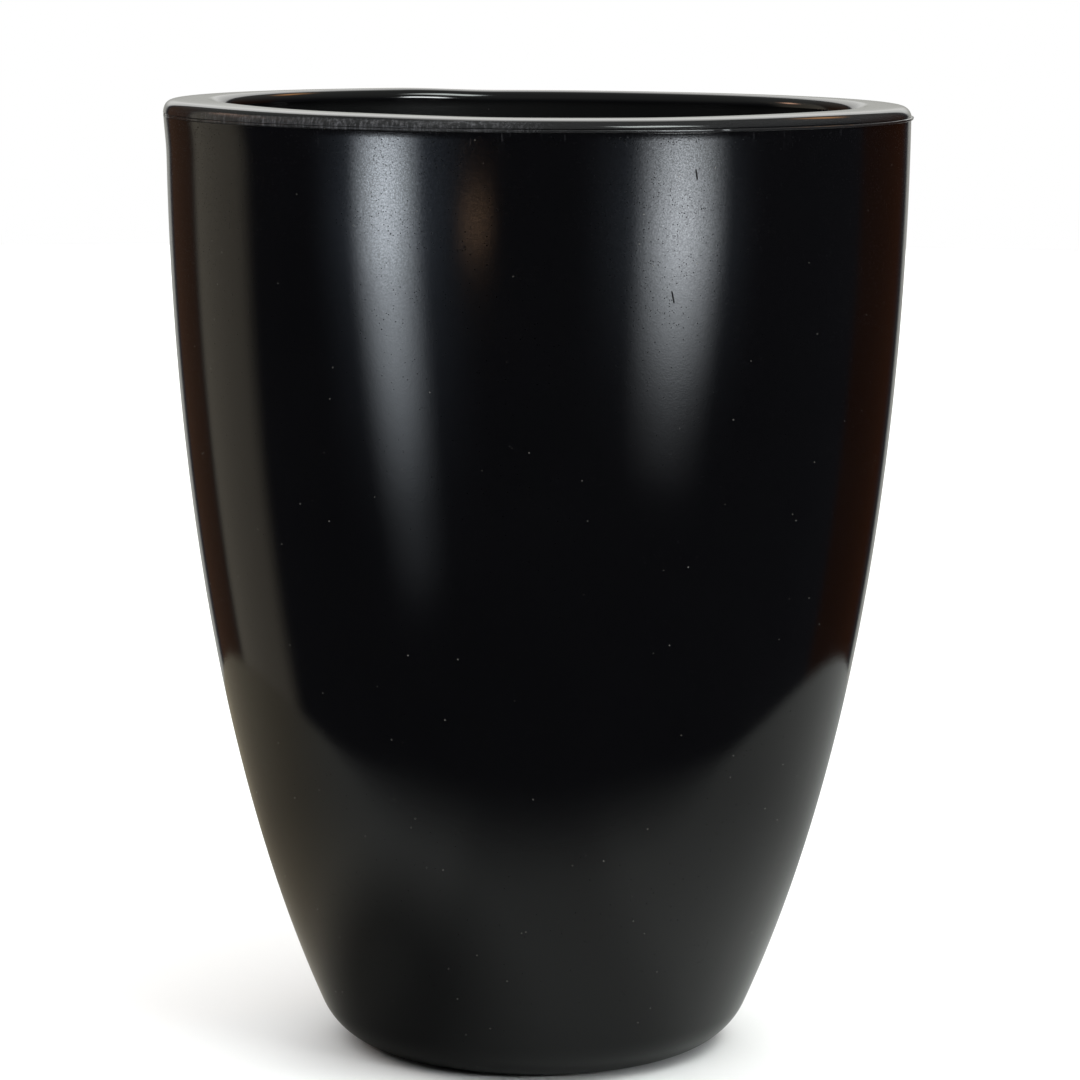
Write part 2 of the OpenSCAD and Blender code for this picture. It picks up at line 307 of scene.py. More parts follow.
FLOOR_RADIUS = 7.0
FLOOR_WHITE = (0.90, 0.90, 0.90)
POOL_RADIUS = 0.785
POOL_CENTRE = (0.0, 0.4, 0.0002)
# The painted part's colour, and the painted warm light on its left.
POOL_TONE = (0.39, 0.40, 0.39)
PAINTED_WARM_LIGHT = (1.05, 0.9, 0.7)
# Painted light and painted shadow on the lit part: distances at which each starts and stops changing, then
# the painted brightness at each.
PAINTED_LIGHT_FALL = (0.13, 0.50, 1.1, 0.56)
PAINTED_SHADOW_CENTRE = (-0.155, -0.125, 0.0)
PAINTED_SHADOW_FALL = (0.05, 0.20, 0.28, 1.0)
# Painted shade: how bright the front and the left of the painted part stay.
PAINTED_FRONT_SHADE = 0.74
PAINTED_LEFT_SHADE = 0.78
# How far the edge of the part with painted light fades outwards and inwards in front, and everywhere else.
POOL_FADE_OUT = 0.08
POOL_FADE_IN = 0.09
POOL_EDGE = 0.003


def floor_paper():
    material, n, place = new_material("floor_paper")
    darker = [0.97 * c for c in FLOOR_WHITE]
    n.surface("Base Color", n.mix(n.noise(place, 3.0, 3.0), darker, FLOOR_WHITE))
    n.surface("Roughness", 0.9)
    n.surface("Normal", n.bump(n.noise(place, 900.0), 0.0002, 0.2))
    return material


def painted_light_floor():
    """The floor as the gloss shows it, with light and shade painted into its colour: a painted pool of light,
    brightest close to the planter and dimmer outwards and in front, a painted soft shadow at the left of
    the foot and a painted warm light on the left. Its edge is hard at the sides and behind, and fades out
    in the middle of the front."""
    material, n, place = new_material("painted_light_floor")
    x, y, _ = n.split(place)
    # Painted light and shade: a pool of light falling off away from the planter, and a painted shadow at the
    # left of the foot.
    painted_tone = n.times(n.step(n.distance(place, (0.0, 0.0, 0.0)), *PAINTED_LIGHT_FALL),
                   n.step(n.distance(place, PAINTED_SHADOW_CENTRE), *PAINTED_SHADOW_FALL))
    front = n.times(n.step(y, 0.0, -0.15), n.times(n.step(x, 0.22, 0.06), n.step(x, -0.2, -0.08)))
    # Painted shade in front of the planter.
    painted_tone = n.times(painted_tone, n.step(front, 0.0, 1.0, 1.0, PAINTED_FRONT_SHADE))
    # Painted shade and painted warm light on the left.
    left = n.times(n.step(x, 0.0, -0.35), n.step(y, -0.3, 0.1))
    painted_tone = n.times(painted_tone, n.step(left, 0.0, 1.0, 1.0, PAINTED_LEFT_SHADE))
    black = (0.0, 0.0, 0.0)
    painted_warm = [c * k for c, k in zip(POOL_TONE, PAINTED_WARM_LIGHT)]
    n.surface("Base Color", n.mix(left, n.mix(painted_tone, black, POOL_TONE), n.mix(painted_tone, black, painted_warm)))
    soft = n.times(n.step(n.math("ABSOLUTE", x), 0.60, 0.25), n.step(y, 0.0, -0.2))
    outer = n.scaled(soft, POOL_FADE_OUT, POOL_RADIUS + POOL_EDGE)
    inner = n.scaled(soft, -POOL_FADE_IN, POOL_RADIUS - POOL_EDGE)
    n.surface("Alpha", n.step(n.distance(place, POOL_CENTRE), outer, inner))
    n.surface("Roughness", 0.95)
    n.surface("Specular IOR Level", 0.0)
    return material


def make_studio():
    """A wide pale floor, and a smaller part of it with painted light and shadow, which only the gloss of the
    planter shows.
    """
    make_world()
    floor = disc("floor", FLOOR_RADIUS, (0.0, 0.0, 0.0), 6)
    floor.data.materials.append(floor_paper())
    floor.visible_glossy = False
    # A disc with painted light and shadow, seen only in reflections.
    pool = disc("floor_painted_light_part", POOL_RADIUS + POOL_FADE_OUT + 0.01, POOL_CENTRE, 4)
    pool.data.materials.append(painted_light_floor())
    pool.visible_camera = False
    pool.visible_diffuse = False
    pool.visible_shadow = False
    soft_sun("sky_above", 0, 0, 120, 3.4)
    soft_sun("sky_front", 38, 18, 60, 0.3)


# ---------------------------------------------------------------- mesh helpers

def add_object(name, mesh, smooth_angle=None):
    """Turns a bmesh into an object in the scene, with outward faces."""
    bmesh.ops.recalc_face_normals(mesh, faces=mesh.faces)
    data = bpy.data.meshes.new(name)
    mesh.to_mesh(data)
    mesh.free()
    thing = bpy.data.objects.new(name, data)
    bpy.context.scene.collection.objects.link(thing)
    if smooth_angle is not None:
        data.shade_smooth()
        data.set_sharp_from_angle(angle=math.radians(smooth_angle))
    return thing


def arc(centre, radius, start, end, count):
    """Points of an arc, angles in degrees."""
    angles = [math.radians(start + (end - start) * i / count) for i in range(count + 1)]
    return [spoke(centre, radius, a) for a in angles]


def spoke(centre, r, angle):
    """The (x, y) at a distance and angle from a centre."""
    return (centre[0] + r * math.cos(angle), centre[1] + r * math.sin(angle))


def straight(start, end, count):
    """Points along a line, with both its ends."""
    return [(start[0] + (end[0] - start[0]) * i / count, start[1] + (end[1] - start[1]) * i / count)
            for i in range(count + 1)]


def smooth(low, high, value):
    """Goes smoothly from 0 at low to 1 at high."""
    t = max(0.0, min(1.0, (value - low) / (high - low)))
    return t * t * (3 - 2 * t)


def bezier(p, t):
    weights = ((1 - t) ** 3, 3 * (1 - t) ** 2 * t, 3 * (1 - t) * t * t, t ** 3)
    return tuple(sum(w * q[k] for w, q in zip(weights, p)) for k in (0, 1))


def bezier_slope(p, t):
    steps = [(p[i + 1][0] - p[i][0], p[i + 1][1] - p[i][1]) for i in range(3)]
    weights = (3 * (1 - t) ** 2, 6 * (1 - t) * t, 3 * t * t)
    return tuple(sum(w * q[k] for w, q in zip(weights, steps)) for k in (0, 1))


def rounded(points, radius, count=4):
    """A closed outline with each corner replaced by a small round."""
    out = []
    total = len(points)
    for i, here in enumerate(points):
        if here[0] == 0:
            out.append(here)
            continue
        before = Vector(points[i - 1]) - Vector(here)
        after = Vector(points[(i + 1) % total]) - Vector(here)
        cut = min(radius, 0.45 * before.length, 0.45 * after.length)
        first = Vector(here) + before.normalized() * cut
        last = Vector(here) + after.normalized() * cut
        for k in range(count + 1):
            t = k / count
            p = first * (1 - t) ** 2 + Vector(here) * 2 * t * (1 - t) + last * t * t
            out.append((p.x, p.y))
    return out


def lathe(name, outline, count, centre=(0.0, 0.0), shape=None, smooth_angle=40):
    """Turns a closed outline of (r, z) points round a vertical axis. UVs run round and along it,
    in metres. shape(r, angle, z) may move a point to a new (r, z)."""
    mesh = bmesh.new()
    uv = mesh.loops.layers.uv.new("surface")
    lengths = [0.0]
    for a, b in zip(outline, outline[1:] + outline[:1]):
        lengths.append(lengths[-1] + math.dist(a, b))
    widest = max(r for r, _ in outline)
    rings = []
    for i in range(count):
        angle = TURN * i / count
        ring = []
        for r, z in outline:
            if shape:
                r, z = shape(r, angle, z)
            ring.append(mesh.verts.new((*spoke(centre, r, angle), z)))
        rings.append(ring)
    steps = len(outline)
    for i in range(count):
        near, far = rings[i], rings[(i + 1) % count]
        for k in range(steps):
            m = (k + 1) % steps
            if max(outline[k][0], outline[m][0]) < 1e-6:
                continue
            face = mesh.faces.new((near[k], far[k], far[m], near[m]))
            u = widest * TURN / count
            spots = ((i * u, lengths[k]), ((i + 1) * u, lengths[k]),
                     ((i + 1) * u, lengths[k + 1]), (i * u, lengths[k + 1]))
            for loop, spot in zip(face.loops, spots):
                loop[uv].uv = spot
    bmesh.ops.remove_doubles(mesh, verts=mesh.verts, dist=1e-7)
    return add_object(name, mesh, smooth_angle)


def finish_piece(piece, body, slot, material, *replaced):
    piece.data.materials.append(material)
    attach(piece, body)
    if replaced:
        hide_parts(*replaced)
    return piece


# ---------------------------------------------------------------- the two moulded shells

shell_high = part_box("outer_shell")[1]

WALL_TOP_R = shell_high.x
SHELL_TOP = shell_high.z
FOOT_R = 0.095
CORNER_R = 0.0455
BASE_LEAN = math.radians(23.7)
TOP_LEAN = math.radians(0.4)
BASE_PULL = 0.165
TOP_PULL = 0.209
WALL = 0.005
KICK_H = 0.014
KICK_R = 0.054
RING_IN_R = 0.062
NOTCH_W = 0.034
NOTCH_H = 0.0022
NOTCH_TURN = math.radians(8)
NOTCH_SIDE = 0.0016
NOTCH_LONG_SIDE = 0.010
EDGE_R = 0.0012
DRAIN_HOLE_R = 0.013
FLARE = 0.0017
SHELL_WAVE = 0.00012
SEGMENTS = 480


def wall_curve():
    low = (FOOT_R + CORNER_R * math.cos(BASE_LEAN), CORNER_R - CORNER_R * math.sin(BASE_LEAN))
    high = (WALL_TOP_R, SHELL_TOP - EDGE_R)
    return (low,
            (low[0] + BASE_PULL * math.sin(BASE_LEAN), low[1] + BASE_PULL * math.cos(BASE_LEAN)),
            (high[0] - TOP_PULL * math.sin(TOP_LEAN), high[1] - TOP_PULL * math.cos(TOP_LEAN)),
            high)


def wall_line(inset, count):
    curve = wall_curve()
    points = []
    for i in range(count + 1):
        t = i / count
        r, z = bezier(curve, t)
        dr, dz = bezier_slope(curve, t)
        size = math.hypot(dr, dz)
        points.append((r - inset * dz / size, z + inset * dr / size))
    return points


def notch_depth(x, y):
    """Height of the vent notches over the floor at a point of the foot ring."""
    depth = 0.0
    for quarter in range(4):
        angle = NOTCH_TURN + math.radians(90 * quarter - 90)
        along = x * math.cos(angle) + y * math.sin(angle)
        across = -x * math.sin(angle) + y * math.cos(angle)
        if along < KICK_R - 0.002:
            continue
        left = (NOTCH_W / 2 + across) / NOTCH_SIDE
        right = (NOTCH_W / 2 - across) / (NOTCH_LONG_SIDE if quarter == 0 else NOTCH_SIDE)
        depth = max(depth, NOTCH_H * smooth(0, 1, min(left, right)))
    return depth


def waver(turns, angle, level):
    """Noise round the axis, finer with more turns; level picks the pattern."""
    return noise.noise(Vector((*spoke((0, 0), turns, angle), level)))


def flare(r, angle, z):
    """How far the top of the planter spreads on the left, where it isn't quite round."""
    turn = math.degrees(angle) % 360
    spread = smooth(95, 150, turn) * smooth(240, 205, turn)
    return FLARE * spread * smooth(SHELL_TOP - 0.026, SHELL_TOP + 0.006, z) * smooth(0.215, 0.225, r)


def shell_shape(r, angle, z):
    """Vent notches, the slight waves that a moulded wall has, and the flare of its top edge."""
    if z < NOTCH_H + 0.0002:
        z = max(z, notch_depth(*spoke((0, 0), r, angle)))
    if z > 0.05:
        fade = max(0.0, min(1.0, (SHELL_TOP - z) / 0.06))
        r += SHELL_WAVE * waver(3, angle, z * 5) * fade + flare(r, angle, z)
    return r, z


def with_drain_hole(outline):
    """Stops the outline at the wall of the drain hole instead of at the axis."""
    return [(max(r, DRAIN_HOLE_R), z) for r, z in outline]


def make_shell():
    corner = (FOOT_R, CORNER_R)
    slope_run = 0.0035
    outside = [(0, KICK_H), (0.03, KICK_H), (KICK_R - 0.002, KICK_H), (KICK_R, KICK_H - 0.001),
               (RING_IN_R - 0.001, 0.0015), (RING_IN_R + 0.001, 0.0)]
    outside += straight((RING_IN_R, 0.0), (FOOT_R, 0.0), 8)[1:-1]
    outside += arc(corner, CORNER_R, -90, -math.degrees(BASE_LEAN), 40)
    outside += wall_line(0, 150)[1:]
    outside += arc((WALL_TOP_R - EDGE_R, SHELL_TOP - EDGE_R), EDGE_R, 10, 90, 6)
    inside = [(WALL_TOP_R - WALL, SHELL_TOP)]
    inside += wall_line(WALL, 60)[::-1]
    inside += arc(corner, CORNER_R - WALL, -math.degrees(BASE_LEAN), -90, 16)[1:]
    inside += [(RING_IN_R + slope_run, WALL), (KICK_R + slope_run, KICK_H + WALL), (0, KICK_H + WALL)]
    skin = lathe("shell_skin", with_drain_hole(outside + inside), SEGMENTS, shape=shell_shape)
    return finish_piece(skin, "shell_body", "shell", shell_plastic(), "outer_shell")


BEAD_H = 0.0003
BEAD_HALF = 0.0009
BEAD_PROUD = 0.0014
BEAD_GRAIN = 0.00022
BEAD_FINE = 0.00012
NICK_UNDER = -0.38
NICK_DEPTH = 0.0007
EDGE_RISE = 0.0006
EDGE_ROUND = 0.0070
EDGE_END = 80
RIM_HIGH = 0.0017
RIM_SAG = 0.0011
LIP_R = 0.007
LIP_H = 0.028
MOUTH_R = 0.2005
LEDGE_Z = 0.130
LEDGE_T = 0.004
LEDGE_W = 0.016
LINER_BASE_R = 0.150
LINER_WALL = 0.004
CROWN_PULL = 0.0035
SPIGOT_GAP = 0.0011
SPIGOT_T = 0.0044
SPIGOT_H = 0.011
SOFT = 0.0006
TOTAL_H = SHELL_TOP + 0.008


def liner_shape(r, angle, z):
    """The rim isn't quite true: it stands a little high at the far left, sags a little in front
    and flares on the left, where the thin bead under it fades out. The bead has small nicks."""
    turn = math.degrees(angle) % 360
    high_side = smooth(97, 116, turn) * smooth(244, 200, turn)
    low_front = smooth(238, 266, turn) * smooth(326, 284, turn)
    left = smooth(0.02, -0.12, math.cos(angle) * WALL_TOP_R)
    on_bead = r > WALL_TOP_R + 0.0003 and z < SHELL_TOP + 0.0016
    if on_bead:
        grain = waver(70, angle, 1.3)
        fine = waver(260, angle, 4.1)
        r += (BEAD_GRAIN * grain + BEAD_FINE * fine) * (1 - left) - BEAD_PROUD * left
        if grain < NICK_UNDER:
            r -= NICK_DEPTH
    elif LEDGE_Z + 0.01 < z < TOTAL_H - 0.03:
        r += 0.0001 * waver(3, angle, z * 6)
    elif r > WALL_TOP_R - 0.0009 and z < SHELL_TOP + 0.0018:
        r += 0.0007 * left
    if z > SHELL_TOP - 0.002:
        r += flare(r, angle, z)
    rise = smooth(SHELL_TOP, SHELL_TOP + 0.006, z) if r > MOUTH_R + 0.003 else smooth(0.566, 0.59, z)
    return r, z + (RIM_HIGH * high_side - RIM_SAG * low_front) * rise


def make_liner():
    lip_z = TOTAL_H - LIP_R
    taper_z = lip_z - LIP_H
    lip = (MOUTH_R + LIP_R, lip_z)
    face_r = WALL_TOP_R + 0.0001
    round_middle = (face_r - EDGE_ROUND, SHELL_TOP + EDGE_RISE)
    edge = arc(round_middle, EDGE_ROUND, 11, EDGE_END, 24)
    pulled = math.radians(EDGE_END + 90)
    crown = (edge[-1],
             (edge[-1][0] + CROWN_PULL * math.cos(pulled), edge[-1][1] + CROWN_PULL * math.sin(pulled)),
             (lip[0] + CROWN_PULL, TOTAL_H), (lip[0], TOTAL_H))
    spigot_r = WALL_TOP_R - WALL - SPIGOT_GAP
    spigot_in = spigot_r - SPIGOT_T
    spigot_low = SHELL_TOP - SPIGOT_H
    bead_low = SHELL_TOP + BEAD_H - BEAD_HALF
    bead_high = SHELL_TOP + BEAD_H + BEAD_HALF
    bead_r = WALL_TOP_R + BEAD_PROUD
    outline = [(WALL_TOP_R - SOFT, bead_low), (bead_r - 0.0005, bead_low),
               (bead_r - 0.0001, bead_low + 0.0003), (bead_r, bead_low + 0.0006),
               (bead_r, bead_high - 0.0005), (bead_r - 0.0002, bead_high - 0.0002),
               (bead_r - 0.0007, bead_high), (face_r - 0.0007, bead_high + 0.0001),
               (face_r - 0.0008, bead_high + 0.0004)]
    outline += edge
    outline += [bezier(crown, i / 14) for i in range(1, 15)]
    outline += arc(lip, LIP_R, 95, 180, 16)
    outline += [(MOUTH_R, taper_z + 0.004), (MOUTH_R - 0.0001, taper_z)]
    ledge_r = LINER_BASE_R - LEDGE_W
    ledge_low = LEDGE_Z - LEDGE_T
    outer_r = LINER_BASE_R + LINER_WALL
    outline += straight((MOUTH_R, taper_z), (LINER_BASE_R, LEDGE_Z), 60)[1:-1]
    outline += [(LINER_BASE_R, LEDGE_Z + 0.0004), (LINER_BASE_R - SOFT, LEDGE_Z),
                (ledge_r + SOFT, LEDGE_Z), (ledge_r, LEDGE_Z - SOFT),
                (ledge_r, ledge_low + SOFT), (ledge_r + SOFT, ledge_low),
                (outer_r - 0.002, ledge_low), (outer_r, ledge_low + 0.002)]
    outline += straight((outer_r, ledge_low), (MOUTH_R + LINER_WALL, taper_z), 60)[1:]
    outline += arc(lip, LIP_R - LINER_WALL, 180, 90, 6)
    outline += [(spigot_in, SHELL_TOP + 0.0036), (spigot_in, spigot_low + 0.0005),
                (spigot_in + SOFT, spigot_low), (spigot_r - SOFT, spigot_low),
                (spigot_r, spigot_low + 0.0005), (spigot_r, SHELL_TOP)]
    skin = lathe("liner_skin", outline, SEGMENTS, shape=liner_shape)
    return finish_piece(skin, "liner_body", "liner", liner_plastic(), "liner")


# ---------------------------------------------------------------- materials

def new_material(name):
    """A material with its node helper, and the place on the object in metres."""
    material = bpy.data.materials.new(name)
    material.use_nodes = True
    n = Nodes(material.node_tree)
    n.shader = n.new("ShaderNodeBsdfPrincipled")
    n.join(n.shader.outputs[0], n.new("ShaderNodeOutputMaterial").inputs["Surface"])
    return material, n, n.new("ShaderNodeTexCoord").outputs["Object"]


def chance(n, colour, channel, limit):
    """1 for the cells whose own random number is over the limit."""
    parts = n.new("ShaderNodeSeparateColor")
    n.join(colour, parts.inputs[0])
    return n.math("GREATER_THAN", parts.outputs[channel], limit)


# Cuts on the front: middle across and up, length, lean.
CUTS = ((0.0912, 0.5672, 0.0075, 0.16), (0.0782, 0.4965, 0.0085, 0.20))
CUT_EDGE = (0.00055, 0.0003)
BLACK = (0.0008, 0.0008, 0.0010)
BLACK_HAZED = (0.0017, 0.0017, 0.0020)
RUBBED = (0.05, 0.05, 0.056)
SHELL_DUST = (0.13, 0.125, 0.11)
PIT = (0.0008, 0.0008, 0.0008)
PLASTIC_IOR = 1.5


def cut_mark(n, place, across, up, length, lean):
    """A short upright cut on the front: 1 inside it."""
    x, y, z = n.split(place)
    over = n.math("SUBTRACT", z, up)
    off = n.math("ABSOLUTE", n.math("SUBTRACT", n.scaled(over, lean, x), across))
    ends = n.step(n.math("ABSOLUTE", over), length / 2, length / 2 - 0.002)
    return n.times(n.times(n.step(off, *CUT_EDGE), ends), n.math("LESS_THAN", y, 0.0))


def shell_plastic():
    """Glossy black plastic. Pin-holes in clusters, rub marks and small scratches crowd near the
    top edge, stray pale specks lie on it, and the front has two short cuts."""
    material, n, place = new_material("shell_plastic")
    height = n.split(place)[2]
    near_top = n.step(height, SHELL_TOP - 0.19, SHELL_TOP - 0.01)
    at_top = n.step(height, SHELL_TOP - 0.016, SHELL_TOP - 0.002)
    clusters = n.step(n.noise(place, 38.0, 3.0, 0.6), 0.42, 0.64)

    holes, own = n.cells(place, 720.0)
    share = n.scaled(n.times(near_top, clusters), -0.50, 0.975)
    pits = n.times(n.step(holes, 0.32, 0.12), chance(n, own, 0, share))
    row = n.times(n.step(height, SHELL_TOP - 0.010, SHELL_TOP - 0.006),
                  n.step(height, SHELL_TOP - 0.002, SHELL_TOP - 0.004))
    dense = n.times(n.step(n.noise(place, 60.0), 0.5, 0.6), row)
    bigger, own_bigger = n.cells(n.stretch(place, (1.0, 1.0, 1.5)), 680.0)
    torn = n.times(n.step(bigger, 0.42, 0.26), chance(n, own_bigger, 0, 0.55))
    pits = n.math("MAXIMUM", pits, n.times(torn, dense))
    for cut in CUTS:
        pits = n.math("MAXIMUM", pits, cut_mark(n, place, *cut))

    specks, own_speck = n.cells(place, 330.0)
    dust = n.times(n.step(specks, 0.17, 0.07), chance(n, own_speck, 1, 0.984))
    scratches = n.step(n.noise(n.stretch(place, (700.0, 700.0, 60.0)), 1.0, 3.0, 0.6), 0.57, 0.70)
    broken = n.step(n.noise(place, 160.0), 0.52, 0.62)
    rubs = n.times(n.times(scratches, broken), at_top)

    haze = n.noise(place, 9.0, 4.0, 0.6)
    mottle = n.noise(place, 190.0, 4.0, 0.65)
    grit = n.step(n.noise(place, 1000.0, 2.0, 0.6), 0.50, 0.72)
    black = n.mix(haze, BLACK, BLACK_HAZED)
    black = n.mix(n.times(rubs, 0.22), black, RUBBED)
    black = n.mix(dust, black, SHELL_DUST)
    n.surface("Base Color", n.mix(pits, black, PIT))

    rough = n.scaled(haze, 0.03, 0.07)
    rough = n.scaled(n.times(near_top, mottle), 0.03, rough)
    rough = n.scaled(n.times(near_top, grit), 0.05, rough)
    rough = n.scaled(rubs, 0.14, rough)
    rough = n.scaled(n.math("MAXIMUM", dust, pits), 0.4, rough)
    n.surface("Roughness", rough)
    n.surface("IOR", PLASTIC_IOR)
    speckle = n.times(n.math("SUBTRACT", n.noise(place, 1250.0, 3.0, 0.7), 0.5), near_top)
    shine = n.scaled(speckle, 1.5, 0.5)
    n.surface("Specular IOR Level", n.scaled(pits, -0.42, shine))

    peel = n.bump(n.noise(n.stretch(place, (75.0, 75.0, 16.0)), 1.0), 0.0003, 0.07)
    grain = n.bump(n.noise(place, 1100.0, 3.0), 0.0001, 0.17, peel)
    n.surface("Normal", n.bump(mottle, 0.00006, 0.18, grain))
    return material


RIM_BLACK = (0.0010, 0.0010, 0.0012)
RIM_HAZED = (0.0020, 0.0020, 0.0022)
# Inside the mouth the black is painted lighter: painted light falling in.
INSIDE_PAINTED_LIGHT_BLACK = (0.0040, 0.0042, 0.0042)
INSIDE_PAINTED_LIGHT_HAZED = (0.0068, 0.0070, 0.0068)
EDGE_GREY = (0.016, 0.016, 0.017)
FRAYED_GREY = (0.08, 0.08, 0.086)
LINER_DUST = (0.08, 0.075, 0.07)


def liner_plastic():
    """The same black plastic: clean and glossy on the rim, worn and frayed on the left of the rim's outer
    face, duller inside the mouth, where a lighter black is painted light falling in, and with pale dust
    specks."""
    material, n, place = new_material("liner_plastic")
    x, _, height = n.split(place)
    inside = n.step(height, TOTAL_H - 0.005, TOTAL_H - 0.011)
    haze = n.noise(place, 12.0, 4.0, 0.6)
    specks, own = n.cells(place, 420.0)
    dust = n.times(n.step(specks, 0.13, 0.05), chance(n, own, 1, 0.988))
    reach = n.distance(n.stretch(place, (1.0, 1.0, 0.0)), (0.0, 0.0, 0.0))
    outer = n.times(n.step(height, TOTAL_H - 0.0016, TOTAL_H - 0.0034),
                    n.step(reach, WALL_TOP_R - 0.005, WALL_TOP_R - 0.003))
    dashes = n.step(n.noise(n.stretch(place, (750.0, 750.0, 90.0)), 1.0, 3.0, 0.7), 0.44, 0.66)
    worn_side = n.times(n.step(x, 0.02, -0.05), n.step(x, -0.215, -0.185))
    frayed = n.times(outer, n.times(dashes, worn_side))

    black = n.mix(haze, RIM_BLACK, RIM_HAZED)
    # Painted light inside the mouth: a lighter black there.
    black = n.mix(inside, black, n.mix(haze, INSIDE_PAINTED_LIGHT_BLACK, INSIDE_PAINTED_LIGHT_HAZED))
    black = n.mix(n.times(outer, 0.5), black, EDGE_GREY)
    black = n.mix(n.times(frayed, 0.7), black, FRAYED_GREY)
    n.surface("Base Color", n.mix(dust, black, LINER_DUST))
    rough = n.scaled(haze, 0.05, 0.07)
    rough = n.scaled(inside, 0.12, rough)
    rough = n.scaled(n.times(outer, worn_side), 0.30, rough)
    n.surface("Roughness", n.scaled(dust, 0.4, rough))
    n.surface("IOR", PLASTIC_IOR)
    peel = n.bump(n.noise(place, 70.0), 0.00025, 0.05)
    n.surface("Normal", n.bump(n.noise(place, 2200.0), 0.00002, 0.2, peel))
    return material


def tuned_noise(n, place, low, high, scale):
    """A number that wanders between low and high."""
    return n.scaled(n.noise(place, scale, 3.0, 0.6), high - low, low)


def satin_plastic(name, colour, rough=0.42, lines=None):
    """Moulded or drawn plastic: a fine grain, a slow drift of tone and gloss, and light dust.
    lines stretches the grain along one axis, for a drawn tube."""
    material, n, place = new_material(name)
    drift = n.noise(place, 30.0, 3.0)
    lighter = [min(1.0, 1.35 * c + 0.006) for c in colour]
    specks, own = n.cells(place, 900.0)
    dust = n.times(n.step(specks, 0.3, 0.1), chance(n, own, 0, 0.96))
    shade = n.mix(drift, colour, lighter)
    n.surface("Base Color", n.mix(n.times(dust, 0.25), shade, (0.5, 0.48, 0.44)))
    n.surface("Roughness", tuned_noise(n, place, rough - 0.06, rough + 0.06, 60.0))
    n.surface("IOR", 1.49)
    grain = n.noise(n.stretch(place, lines) if lines else place, 1.0 if lines else 3500.0, 3.0)
    n.surface("Normal", n.bump(grain, 0.00004, 0.5))
    return material


def rubber():
    material, n, place = new_material("rubber")
    bloom = n.step(n.noise(place, 140.0, 4.0, 0.65), 0.45, 0.75)
    n.surface("Base Color", n.mix(bloom, (0.014, 0.014, 0.015), (0.032, 0.031, 0.030)))
    n.surface("Roughness", tuned_noise(n, place, 0.62, 0.8, 200.0))
    n.surface("Normal", n.bump(n.noise(place, 2400.0, 3.0), 0.00006, 0.6))
    return material


def drawn_steel():
    """Bright wire with fine lines along X, the way it was drawn."""
    material, n, place = new_material("drawn_steel")
    lines = n.noise(n.stretch(place, (60.0, 5200.0, 5200.0)), 1.0, 3.0)
    n.surface("Base Color", n.mix(lines, (0.50, 0.50, 0.51), (0.66, 0.66, 0.67)))
    n.surface("Metallic", 1.0)
    n.surface("Roughness", n.scaled(lines, 0.12, 0.20))
    n.surface("Normal", n.bump(lines, 0.00002, 0.5))
    return material


def felt():
    """Needled felt: pale wool tones, matted fibres at two sizes, darker towards the wet foot."""
    material, n, place = new_material("felt")
    height = n.split(place)[2]
    tufts = n.noise(place, 420.0, 4.0, 0.7)
    fibres = n.noise(n.stretch(place, (900.0, 900.0, 2600.0)), 1.0, 4.0, 0.75)
    strands = n.noise(n.stretch(place, (2600.0, 2600.0, 700.0)), 1.0, 4.0, 0.75)
    pale = n.mix(tufts, (0.42, 0.40, 0.34), (0.62, 0.60, 0.53))
    pale = n.mix(n.step(fibres, 0.42, 0.62), n.mix(0.55, pale, (0.24, 0.22, 0.18)), pale)
    damp = n.step(n.scaled(tufts, 0.012, height), 0.052, 0.024)
    n.surface("Base Color", n.mix(n.times(damp, 0.45), pale, (0.16, 0.14, 0.105)))
    n.surface("Roughness", tuned_noise(n, place, 0.85, 0.97, 300.0))
    n.surface("Sheen Weight", 0.35)
    n.surface("Sheen Roughness", 0.5)
    matted = n.bump(n.math("ADD", fibres, strands), 0.00035, 0.7)
    n.surface("Normal", n.bump(tufts, 0.0006, 0.5, matted))
    return material


def clear_plastic():
    """Clear tube with faint draw lines and a light haze."""
    material, n, place = new_material("clear_plastic")
    haze = n.noise(place, 120.0, 3.0)
    n.surface("Base Color", n.mix(haze, (0.88, 0.93, 0.95), (0.96, 0.98, 0.99)))
    n.surface("Roughness", n.scaled(haze, 0.10, 0.03))
    n.surface("IOR", 1.46)
    n.surface("Transmission Weight", 0.96)
    lines = n.noise(n.stretch(place, (1600.0, 1600.0, 12.0)), 1.0)
    n.surface("Normal", n.bump(lines, 0.00002, 0.4))
    return material


# ---------------------------------------------------------------- the inner pieces

def turned(node, body, slot, material, outline, centre=(0, 0), soft=0.0005, count=96, shape=None):
    """A round piece that stands for the node of the same place, with softened edges."""
    piece = lathe(node + "_skin", rounded(outline, soft), count, centre, shape)
    return finish_piece(piece, body, slot, material, node)


def rectangle(inner, outer, low, high, steps=1):
    """Closed outline of a ring, with the outer side cut into steps."""
    return [(inner, low)] + straight((outer, low), (outer, high), steps) + [(inner, high)]


def merged(name, pieces):
    """Joins several pieces into one mesh."""
    mesh = bmesh.new()
    for piece in pieces:
        mesh.from_mesh(piece.data)
        bpy.data.objects.remove(piece)
    return add_object(name, mesh, 40)


def block(low, high, soft):
    """A box with rounded edges."""
    mesh = bmesh.new()
    size = Vector(high) - Vector(low)
    place = Matrix.Translation((Vector(low) + Vector(high)) / 2) @ Matrix.Diagonal((*size, 1.0))
    bmesh.ops.create_cube(mesh, size=1.0, matrix=place)
    bmesh.ops.bevel(mesh, geom=mesh.edges[:], offset=soft, segments=3, profile=0.5, affect="EDGES")
    return add_object("block", mesh, 40)


